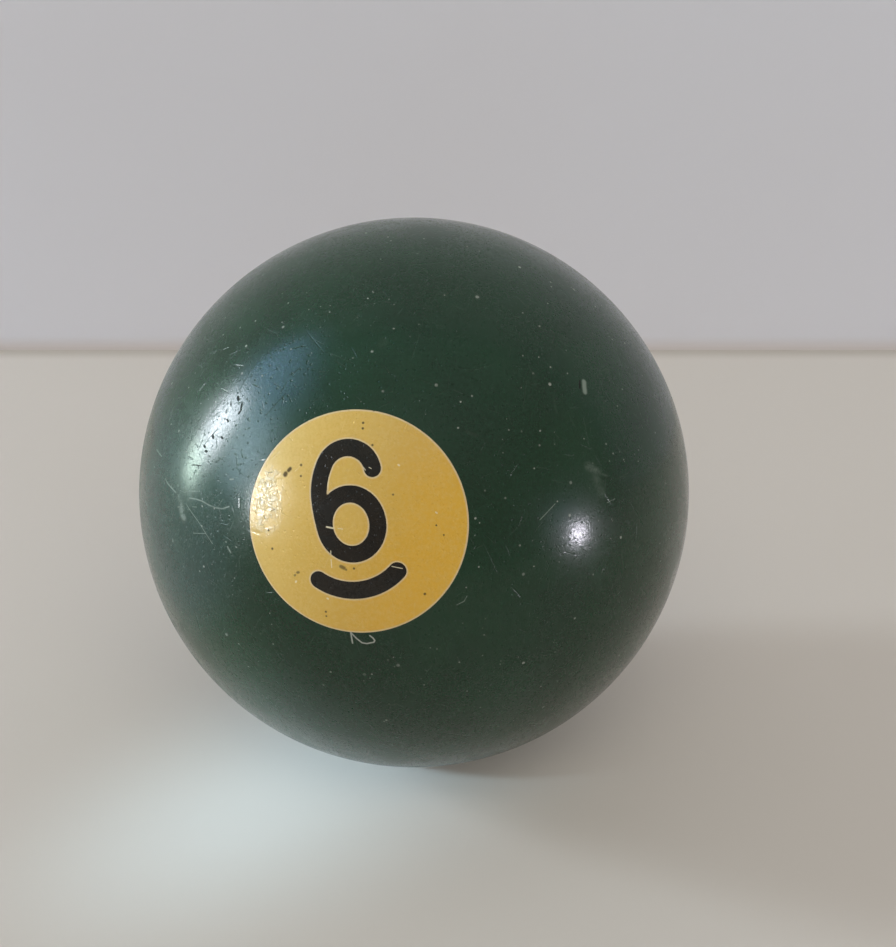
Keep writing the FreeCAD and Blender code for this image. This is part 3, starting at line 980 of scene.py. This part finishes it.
def make_stage():
    reach = STAGE_REACH
    floor = [(-reach, -reach, FLOOR), (reach, -reach, FLOOR), (reach, reach, FLOOR),
             (-reach, reach, FLOOR)]
    panel("floor", floor, paper_material())
    wall = [(-reach, WALL_BEHIND, FLOOR), (reach, WALL_BEHIND, FLOOR),
            (reach, WALL_BEHIND, WALL_HEIGHT), (-reach, WALL_BEHIND, WALL_HEIGHT)]
    board = panel("wall", [turned(Vector(corner)) for corner in wall], wall_material())
    board.visible_shadow = False


def light_direction(azimuth, elevation):
    return ball_point(azimuth, elevation).normalized()


def glowing(name, azimuth, elevation, distance, width, height, colour, strength, flat=0.2):
    """A soft rectangular light facing the ball, brightest in the middle, unseen by the camera.
    flat is the share of its width and height that is fully bright."""
    out = light_direction(azimuth, elevation)
    side = Vector((0, 0, 1)).cross(out).normalized()
    up = out.cross(side)
    centre = out * distance
    corners = [centre + side * (a * width / 2) + up * (b * height / 2)
               for a, b in ((-1, -1), (-1, 1), (1, 1), (1, -1))]
    material, n = new_material(name)
    geometry = n.add("ShaderNodeNewGeometry").outputs
    place = n.vector("SUBTRACT", geometry["Position"], centre)
    beside = n.math("ABSOLUTE", n.vector("DOT_PRODUCT", place, side / (width / 2)))
    above = n.math("ABSOLUTE", n.vector("DOT_PRODUCT", place, up / (height / 2)))
    fade = n.math("MULTIPLY", n.ramp(beside, 1.0, flat), n.ramp(above, 1.0, flat))
    facing = n.math("SUBTRACT", 1.0, geometry["Backfacing"])
    power = n.math("MULTIPLY", n.math("MULTIPLY", fade, facing), strength)
    glow = n.add("ShaderNodeEmission", {"Color": (*colour, 1.0), "Strength": power})
    clear = n.add("ShaderNodeBsdfTransparent")
    both = n.add("ShaderNodeAddShader", {0: glow.outputs[0], 1: clear.outputs[0]})
    n.add("ShaderNodeOutputMaterial", {"Surface": both.outputs[0]})
    board = panel(name, corners, material)
    board.visible_camera = False
    board.visible_shadow = False
    return board


def make_lights():
    """The windows that only show as reflections, and the soft lights that only light things.
    Each has its azimuth, elevation, distance, width, height, colour and strength."""
    mirrored = [
        glowing("window_core", -86.0, 18.5, 0.30, 0.100, 0.185, (0.84, 0.90, 0.98), 28.0, 0.1),
        glowing("window_low", -88.5, 3.0, 0.30, 0.070, 0.105, (0.78, 1.0, 0.86), 19.0, 0.1),
        glowing("window_between", -66.0, 22.0, 0.31, 0.190, 0.240, (0.60, 0.82, 1.0), 8.0, 0.0),
        glowing("window_above", -90.0, 40.0, 0.35, 0.380, 0.320, (0.36, 0.64, 1.0), 4.6, 0.0),
        glowing("window_beside", -50.5, 13.0, 0.40, 0.098, 0.165, (0.92, 0.97, 1.0), 56.0, 0.0),
        glowing("spark", 76.4, -1.0, 0.30, 0.050, 0.045, (0.92, 0.88, 1.0), 90.0, 0.0),
        glowing("spark_haze", 71.0, 7.0, 0.30, 0.130, 0.110, (0.60, 0.78, 1.0), 0.9, 0.0),
    ]
    for board in mirrored:
        board.visible_diffuse = False
    cast = [
        glowing("key", -89.5, 15.0, 1.25, 0.236, 0.472, (0.79, 0.93, 1.0), 79.0, 0.2),
        glowing("fill", 15.0, 50.0, 0.60, 0.700, 0.360, (1.0, 0.95, 0.80), 2.50, 0.3),
    ]
    for board in cast:
        board.visible_glossy = False
    bounce_light()


BOUNCE_SPOT = Vector((-9.0 * MM, -15.0 * MM, FLOOR))
BOUNCE_AZIMUTH = -40.0
BOUNCE_ELEVATION = 32.0
BOUNCE_DISTANCE = 0.25
BOUNCE_WIDTH = math.radians(8.4)


def bounce_light():
    """The window light that the ball's flank throws down beside its foot, as one soft spot."""
    data = bpy.data.lights.new("bounce", "SPOT")
    data.energy = 2.9
    data.color = (0.56, 0.85, 1.0)
    data.spot_size = BOUNCE_WIDTH
    data.spot_blend = 1.0
    data.shadow_soft_size = 0.01
    lamp = bpy.data.objects.new("bounce", data)
    out = light_direction(BOUNCE_AZIMUTH, BOUNCE_ELEVATION)
    aim = out.to_track_quat("Z", "Y").to_matrix().to_4x4()
    lamp.matrix_world = Matrix.Translation(BOUNCE_SPOT + out * BOUNCE_DISTANCE) @ aim
    lamp.visible_glossy = False
    bpy.context.scene.collection.objects.link(lamp)


# The room round the ball, and its lighter and darker parts: azimuth, elevation, inner and
# outer radius in degrees, colour, and share.
ROOM = (0.37, 0.345, 0.315)
ROOM_PATCHES = [
    (-150, 40, 10, 60, (0.42, 0.57, 0.74), 0.8),
    (0, 80, 10, 60, (0.52, 0.60, 0.56), 0.7),
    (148, -20, 10, 45, (0.50, 0.44, 0.42), 0.6),
    (105, 45, 5, 18, (0.52, 0.52, 0.50), 0.5),
    (120, 12, 4, 24, (0.24, 0.24, 0.23), 0.6),
]


def make_world():
    world = bpy.data.worlds.new("room")
    bpy.context.scene.world = world
    world.use_nodes = True
    n = Nodes(world.node_tree)
    toward = n.add("ShaderNodeTexCoord").outputs["Generated"]
    total = n.mix(0.0, ROOM, ROOM)
    for azimuth, elevation, inner, outer, tint, amount in ROOM_PATCHES:
        near = n.vector("DOT_PRODUCT", toward, light_direction(azimuth, elevation))
        low, high = math.cos(math.radians(outer)), math.cos(math.radians(inner))
        share = n.ramp(near, low, high, 0.0, amount)
        total = n.mix(share, total, tint)
    background = n.add("ShaderNodeBackground", {"Color": total, "Strength": 1.0})
    n.add("ShaderNodeOutputWorld", {"Surface": background.outputs[0]})


build_ball()
make_camera()
make_stage()
make_lights()
make_world()
bpy.context.scene.view_settings.view_transform = "Standard"
